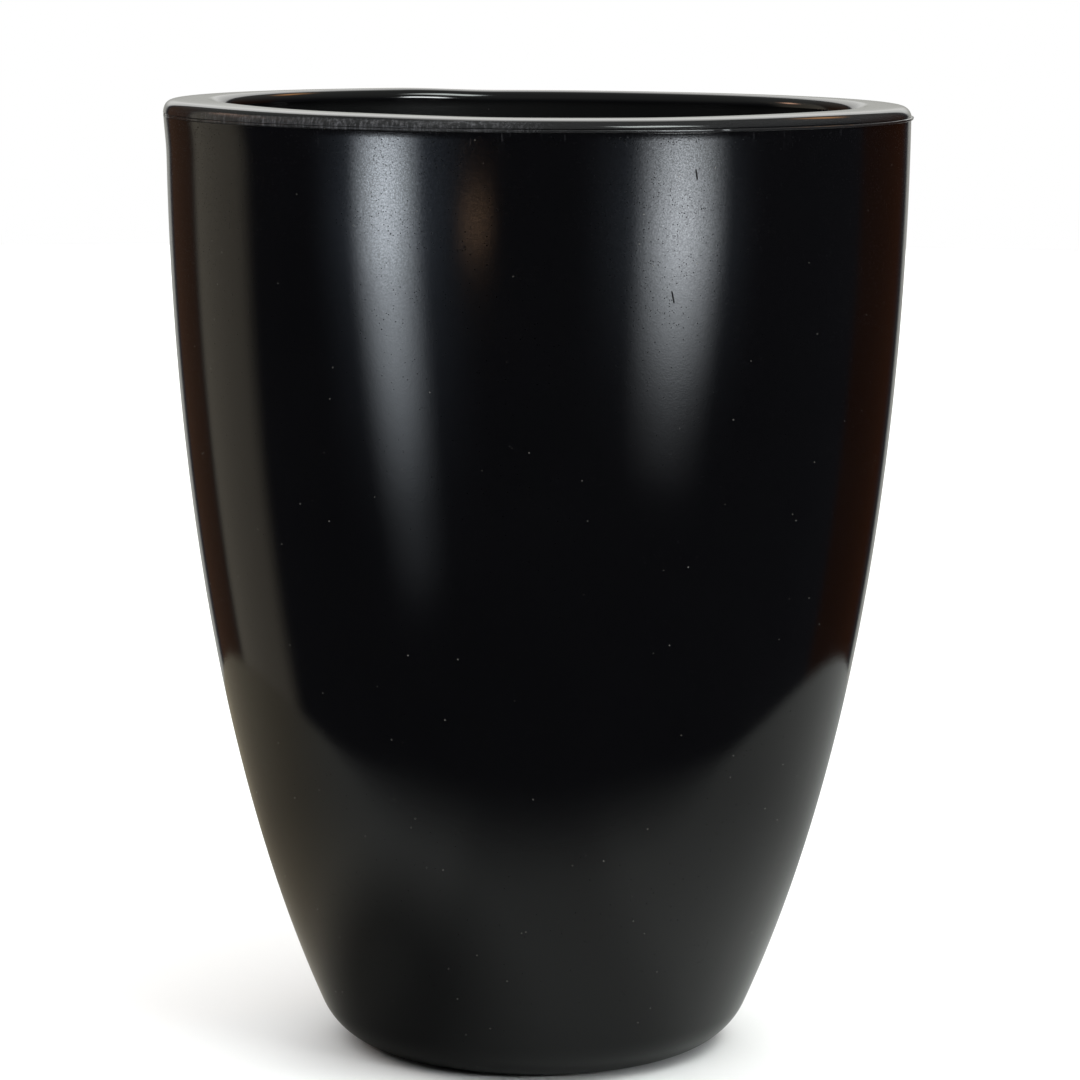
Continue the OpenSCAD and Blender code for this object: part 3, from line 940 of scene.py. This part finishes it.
def across(piece, middle):
    """Lays a piece that was turned round the Z axis along X, with its origin at middle."""
    piece.data.transform(Matrix.Translation(middle) @ Matrix.Rotation(math.radians(90), 4, "Y"))
    return piece


BORE_R = 0.009
FLANGE_R = 0.020
FLANGE_LOW = 0.008
FLANGE_HIGH = 0.012
SHANK_R = 0.0131
SHANK_TOP = 0.0312
THREAD_R = 0.0129
THREAD_FROM = 0.0145
THREAD_PITCH = 0.0015
THREAD_HALF_DEPTH = 0.00022
GASKET_T = 0.002
NUT_FLAT_R = 0.018
NUT_FACE_R = 0.0185
NUT_CORNER_R = 0.0208
NUT_CHAMFER = 0.0013
NUT_LOW = 0.019
NUT_HIGH = 0.027
SEAL_MIDDLE = (0.0106, 0.007)
SEAL_R = 0.001


def thread(r, angle, z):
    """Cuts a helical thread into the shank of the bushing."""
    if THREAD_R - 0.0004 < r < THREAD_R + 0.0001 and z > THREAD_FROM:
        r -= THREAD_HALF_DEPTH * (1 + math.sin(TURN * z / THREAD_PITCH - angle))
    return r, z


def hexagon(r, angle, z):
    """Pulls the rim of the nut in to six flats, with the corners rounded off at both faces."""
    if r < NUT_FLAT_R - 0.001:
        return r, z
    flat = NUT_FLAT_R / math.cos(math.radians(math.degrees(angle) % 60 - 30))
    edge = NUT_FACE_R + 1.8 * min(z - NUT_LOW, NUT_HIGH - z)
    return min(flat, edge, r), z


def make_drain():
    plastic = satin_plastic("fitting_plastic", (0.040, 0.040, 0.043))
    seal = rubber()
    soft = 0.0002
    bushing = [(BORE_R + soft, FLANGE_LOW), (FLANGE_R - 0.0003, FLANGE_LOW), (FLANGE_R, FLANGE_LOW + 0.0004),
               (FLANGE_R, FLANGE_HIGH - 0.0003), (FLANGE_R - 0.0003, FLANGE_HIGH), (SHANK_R, FLANGE_HIGH)]
    bushing += straight((THREAD_R, FLANGE_HIGH + 0.0012), (THREAD_R, SHANK_TOP - soft), 90)
    bushing += [(THREAD_R - 0.0003, SHANK_TOP), (BORE_R + soft, SHANK_TOP), (BORE_R, SHANK_TOP - soft),
                (BORE_R, FLANGE_LOW + soft)]
    skin = lathe("drain_bushing_skin", bushing, 144, shape=thread)
    finish_piece(skin, "shell_body", "fittings", plastic, "drain_bushing")
    gasket = rectangle(DRAIN_HOLE_R, FLANGE_R, FLANGE_HIGH, FLANGE_HIGH + GASKET_T)
    turned("bushing_gasket", "shell_body", "seals", seal, gasket, soft=0.0006)
    nut = [(SHANK_R, NUT_LOW), (NUT_FACE_R, NUT_LOW)]
    nut += straight((NUT_CORNER_R, NUT_LOW + NUT_CHAMFER), (NUT_CORNER_R, NUT_HIGH - NUT_CHAMFER), 4)
    nut += [(NUT_FACE_R, NUT_HIGH), (SHANK_R, NUT_HIGH)]
    skin = lathe("bushing_nut_skin", nut, 192, shape=hexagon, smooth_angle=20)
    finish_piece(skin, "shell_body", "fittings", plastic, "bushing_nut")
    skin = lathe("plug_seal_skin", arc(SEAL_MIDDLE, SEAL_R, 0, 330, 11), 96)
    finish_piece(skin, "plug_body", "seals", seal, "plug_seal")
    return plastic, seal


def perforated_plate(name, radius, low, high, holes, soft):
    """A round plate with round holes, each (x, y, r), and soft edges all round."""
    curve = bpy.data.curves.new(name, "CURVE")
    curve.dimensions = "2D"
    curve.fill_mode = "BOTH"
    curve.extrude = (high - low) / 2 - soft
    curve.bevel_depth = soft
    curve.bevel_resolution = 2
    curve.offset = -soft
    for x, y, r in [(0, 0, radius)] + holes:
        count = max(24, int(r * 4000))
        spline = curve.splines.new("POLY")
        spline.points.add(count - 1)
        spline.use_cyclic_u = True
        for i, point in enumerate(spline.points):
            point.co = (*spoke((x, y), r, TURN * i / count), 0, 1)
    thing = bpy.data.objects.new(name, curve)
    bpy.context.scene.collection.objects.link(thing)
    graph = bpy.context.evaluated_depsgraph_get()
    mesh = bmesh.new()
    mesh.from_mesh(bpy.data.meshes.new_from_object(thing.evaluated_get(graph)))
    bpy.data.objects.remove(thing)
    bmesh.ops.remove_doubles(mesh, verts=mesh.verts, dist=1e-6)
    bmesh.ops.translate(mesh, verts=mesh.verts, vec=(0, 0, (low + high) / 2))
    return add_object(name, mesh, 40)


PLATE_R = 0.149
PLATE_LOW = 0.130
PLATE_HIGH = 0.134
HOLE_R = 0.003
HOLE_STEP = 0.024
HOLE_RINGS = 5
RIB_ANGLES = (15, 139, 255)
RIB_FROM = 0.020
RIB_TO = 0.130
RIB_T = 0.003
RIB_H = 0.008
WICK_ANGLES = (-45, 75, 195)
WICK_REACH = 0.092
WICK_R = 0.012
WICK_LOW = 0.010
WICK_HIGH = 0.136
RING_LIP = 0.007
RING_LOW = 0.124
GROMMET_LOW = 0.128
GROMMET_HIGH = 0.136
FILL = (-0.058, 0.088)
FILL_R = 0.0209
FILL_FLANGE_R = 0.024
GAUGE = (-0.100, 0.050)
GAUGE_R = 0.012
GAUGE_FLANGE_R = 0.015
TUBE_LOW = 0.126
TUBE_TOP = 0.556
CLEAR = 0.005


def turn_at(reach, degrees):
    return spoke((0, 0), reach, math.radians(degrees))


def near_rib(p):
    for degrees in RIB_ANGLES:
        along = Vector(turn_at(1, degrees))
        ahead = Vector(p).dot(along)
        gap = (Vector(p) - ahead * along).length if ahead > 0 else Vector(p).length
        if gap < CLEAR + RIB_T / 2:
            return True
    return False


def drain_holes():
    holes = []
    for ring in range(1, HOLE_RINGS + 1):
        for i in range(6 * ring):
            p = turn_at(HOLE_STEP * ring, 60 * i / ring)
            wick_gap = min(math.dist(p, turn_at(WICK_REACH, a)) for a in WICK_ANGLES)
            clear = (wick_gap > WICK_R + RING_LIP + CLEAR
                     and math.dist(p, FILL) > FILL_FLANGE_R + CLEAR
                     and math.dist(p, GAUGE) > GAUGE_FLANGE_R + CLEAR)
            if clear and not near_rib(p):
                holes.append((*p, HOLE_R))
    return holes


def felt_surface(centre):
    """Matted, slightly lumpy sides for a felt rod."""
    def shape(r, angle, z):
        if r > 0.004:
            spot = Vector((*spoke(centre, r, angle), z))
            lumps = noise.noise(spot * 260) + 0.6 * noise.noise(spot * 900)
            r += 0.00022 * lumps - 0.00012
        return r, z
    return shape


def make_separator(seal):
    plastic = satin_plastic("separator_plastic", (0.050, 0.050, 0.052), 0.45)
    holes = drain_holes()
    holes += [(*turn_at(WICK_REACH, a), WICK_R + 0.0022) for a in WICK_ANGLES]
    holes += [(*FILL, FILL_R + 0.0015), (*GAUGE, GAUGE_R + 0.0015)]
    parts = [perforated_plate("plate", PLATE_R, PLATE_LOW, PLATE_HIGH, holes, 0.0005)]
    for degrees in RIB_ANGLES:
        rib = block((RIB_FROM, -RIB_T / 2, PLATE_LOW - RIB_H), (RIB_TO, RIB_T / 2, PLATE_LOW + 0.002), 0.0005)
        rib.data.transform(Matrix.Rotation(math.radians(degrees), 4, "Z"))
        parts.append(rib)
    plate = merged("separator_plate_skin", parts)
    finish_piece(plate, "separator_body", "separator", plastic, "separator_plate")

    bore = WICK_R + 0.0001
    neck = WICK_R + 0.0021
    lip = WICK_R + RING_LIP
    ring = [(bore, RING_LOW), (neck, RING_LOW), (neck, PLATE_HIGH), (lip, PLATE_HIGH), (lip, WICK_HIGH),
            (bore, WICK_HIGH)]
    rod = rectangle(0.0, WICK_R, WICK_LOW, WICK_HIGH, 110)
    rings = []
    rods = []
    for degrees in WICK_ANGLES:
        centre = turn_at(WICK_REACH, degrees)
        rings.append(lathe("ring", rounded(ring, 0.0005), 96, centre))
        rods.append(lathe("rod", rounded(rod, 0.001), 128, centre, felt_surface(centre)))
    finish_piece(merged("wick_rings_skin", rings), "separator_body", "separator", plastic, "wick_rings")
    finish_piece(merged("wicks_skin", rods), "separator_body", "wick", felt(), "wicks")

    grommets = (("fill_grommet", FILL, FILL_R, FILL_FLANGE_R),
                ("gauge_grommet", GAUGE, GAUGE_R, GAUGE_FLANGE_R))
    for node, centre, tube_r, flange_r in grommets:
        bore = tube_r + 0.0001
        groove = tube_r + 0.0014
        outline = [(bore, GROMMET_LOW), (flange_r, GROMMET_LOW), (flange_r, PLATE_LOW),
                   (groove, PLATE_LOW), (groove, PLATE_HIGH), (flange_r, PLATE_HIGH),
                   (flange_r, GROMMET_HIGH), (bore, GROMMET_HIGH)]
        turned(node, "separator_body", "seals", seal, outline, centre, 0.0007)


HINGE_Y = FILL[1] + 0.0285
HINGE_Z = TUBE_TOP + 0.002
KNUCKLE_R = 0.0035
KNUCKLE_HALF = 0.0058
PIN_R = 0.0015
PIN_HALF = 0.013
CAP_R = 0.025
CAP_T = 0.004
CAP_DISH = 0.0007
TAB_HALF = 0.008
TAB_RIB_HALF = 0.006
TAB_RIB_STEP = 0.0018


def make_filler(plastic):
    drawn = satin_plastic("tube_plastic", (0.032, 0.032, 0.034), 0.38, (1500.0, 1500.0, 25.0))
    tube = rectangle(FILL_R - 0.002, FILL_R, TUBE_LOW, TUBE_TOP, 24)
    turned("fill_tube", "separator_body", "tubes", drawn, tube, FILL, 0.0004)

    pin = lathe("pin", rounded(rectangle(0, PIN_R, -PIN_HALF, PIN_HALF), 0.0004), 48)
    across(pin, (FILL[0], HINGE_Y, HINGE_Z))
    pin.name = "cap_hinge_pin_skin"
    finish_piece(pin, "separator_body", "pin", drawn_steel(), "cap_hinge_pin")

    top = TUBE_TOP + CAP_T
    lid = [(0, TUBE_TOP + 0.0001), (CAP_R, TUBE_TOP + 0.0001), (CAP_R, top), (CAP_R - 0.0025, top),
           (CAP_R - 0.0038, top - CAP_DISH), (0, top - CAP_DISH)]
    parts = [lathe("lid", rounded(lid, 0.0006), 128, FILL)]
    knuckle = rectangle(PIN_R + 0.00005, KNUCKLE_R, -KNUCKLE_HALF, KNUCKLE_HALF)
    parts.append(across(lathe("knuckle", rounded(knuckle, 0.0003), 64), (FILL[0], HINGE_Y, HINGE_Z)))
    parts.append(block((FILL[0] - KNUCKLE_HALF, FILL[1] + 0.020, TUBE_TOP + 0.0004),
                       (FILL[0] + KNUCKLE_HALF, HINGE_Y - 0.0022, top - 0.0003), 0.0005))
    front = FILL[1] - CAP_R
    parts.append(block((FILL[0] - TAB_HALF, front - 0.004, TUBE_TOP + 0.001),
                       (FILL[0] + TAB_HALF, front + 0.003, top), 0.0008))
    for i in range(3):
        y = front - 0.0032 + TAB_RIB_STEP * i
        parts.append(block((FILL[0] - TAB_RIB_HALF, y, top - 0.0003),
                           (FILL[0] + TAB_RIB_HALF, y + TAB_RIB_STEP / 2, top + 0.0004), 0.0003))
    finish_piece(merged("fill_cap_skin", parts), "cap_body", "fittings", plastic, "fill_cap")
    return drawn


WINDOW_LOW = 0.480
GAUGE_CAP_R = 0.014
GAUGE_CAP_LOW = TUBE_TOP - 0.008
GAUGE_CAP_HIGH = TUBE_TOP + 0.003
GRIP_RIBS = 40
GRIP_HALF_DEPTH = 0.00028
MARK_LOW = 0.4860
MARK_STEP = 0.0140
MARK_H = 0.0011
MARK_FACING = -45
LONG_MARK = 26
SHORT_MARK = 15
RED_PAINT = (0.55, 0.03, 0.025)


def ribbed(r, angle, z):
    """Fine grip ribs round the side of the gauge cap."""
    if r > GAUGE_CAP_R - 0.0004 and GAUGE_CAP_LOW + 0.0015 < z < GAUGE_CAP_HIGH - 0.0015:
        r -= GRIP_HALF_DEPTH * (1 + math.cos(GRIP_RIBS * angle))
    return r, z


def curved_bar(centre, inner, outer, low, high, facing, half):
    """A short bar bent round a tube, facing one way."""
    mesh = bmesh.new()
    steps = 12
    last = None
    for i in range(steps + 1):
        angle = math.radians(facing - half + 2 * half * i / steps)
        corners = ((inner, low), (outer, low), (outer, high), (inner, high))
        ring = [mesh.verts.new((*spoke(centre, r, angle), z)) for r, z in corners]
        if last:
            for k in range(4):
                m = (k + 1) % 4
                mesh.faces.new((last[k], ring[k], ring[m], last[m]))
        if i in (0, steps):
            mesh.faces.new(ring)
        last = ring
    return add_object("mark", mesh, 30)


def make_gauge(plastic):
    window = rectangle(GAUGE_R - 0.0015, GAUGE_R, WINDOW_LOW, TUBE_TOP, 8)
    turned("gauge_window", "separator_body", "window", clear_plastic(), window, GAUGE, 0.0003)
    low, high = GAUGE_CAP_LOW, GAUGE_CAP_HIGH
    bore = GAUGE_R + 0.0001
    cap = [(0, TUBE_TOP + 0.0001), (bore, TUBE_TOP + 0.0001), (bore, low), (GAUGE_CAP_R - 0.0006, low)]
    cap += straight((GAUGE_CAP_R, low + 0.0012), (GAUGE_CAP_R, high - 0.0012), 10)
    cap += [(GAUGE_CAP_R - 0.0008, high - 0.0001), (0.0105, high), (0.0098, high - 0.0005),
            (0, high - 0.0005)]
    skin = lathe("gauge_cap_skin", cap, 320, GAUGE, ribbed)
    finish_piece(skin, "separator_body", "fittings", plastic, "gauge_cap")

    marks = []
    for i in range(5):
        z = MARK_LOW + MARK_STEP * i
        half = SHORT_MARK if i % 2 else LONG_MARK
        marks.append(curved_bar(GAUGE, GAUGE_R + 0.00005, GAUGE_R + 0.0003, z, z + MARK_H, MARK_FACING, half))
    paint = satin_plastic("mark_paint", RED_PAINT, 0.5)
    finish_piece(merged("level_marks", marks), "separator_body", "marker", paint)


FLOAT_LOW = 0.0261
FLOAT_L = 0.030
FLOAT_R = 0.0094
ROD_R = 0.0015
MARKER_LOW = 0.484
MARKER_T = 0.005
MARKER_R = 0.008
MARKER_RED = (0.58, 0.03, 0.025)


def float_seam(r, angle, z):
    """The thin weld line round the middle of the float."""
    if r > FLOAT_R - 0.0004 and abs(z - FLOAT_LOW - FLOAT_L / 2) < 0.0004:
        r += 0.00015
    return r, z


def make_float():
    pale = satin_plastic("float_plastic", (0.70, 0.69, 0.64), 0.5)
    body = rectangle(0.0, FLOAT_R, FLOAT_LOW, FLOAT_LOW + FLOAT_L, 40)
    turned("float", "float_body", "float", pale, body, GAUGE, 0.0012, shape=float_seam)
    rod = rectangle(0.0, ROD_R, FLOAT_LOW + FLOAT_L, MARKER_LOW, 20)
    turned("float_rod", "float_body", "float", pale, rod, GAUGE, 0.0002, 32)
    marker = rectangle(0.0, MARKER_R, MARKER_LOW, MARKER_LOW + MARKER_T)
    red = satin_plastic("marker_plastic", MARKER_RED, 0.4)
    turned("float_marker", "float_body", "marker", red, marker, GAUGE, 0.0010)


def dress_cad_node(name, material, soft):
    """Gives a CAD node that is shown as it is soft edges and its own material."""
    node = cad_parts[name]
    node.data.materials.clear()
    node.data.materials.append(material)
    weld = node.modifiers.new("weld", "WELD")
    weld.merge_threshold = 1e-6
    flat = node.modifiers.new("flat", "DECIMATE")
    flat.decimate_type = "DISSOLVE"
    flat.angle_limit = math.radians(1)
    bevel = node.modifiers.new("bevel", "BEVEL")
    bevel.width = soft
    bevel.segments = 2
    bevel.limit_method = "ANGLE"
    bevel.angle_limit = math.radians(35)


# ---------------------------------------------------------------- build

make_camera()
make_studio()
make_shell()
make_liner()
fitting, seal = make_drain()
make_separator(seal)
drawn = make_filler(fitting)
make_gauge(fitting)
make_float()
dress_cad_node("drain_plug", fitting, 0.0004)
dress_cad_node("fill_collar", fitting, 0.0005)
dress_cad_node("gauge_tube", drawn, 0.0003)

bpy.context.scene.view_settings.view_transform = "Standard"
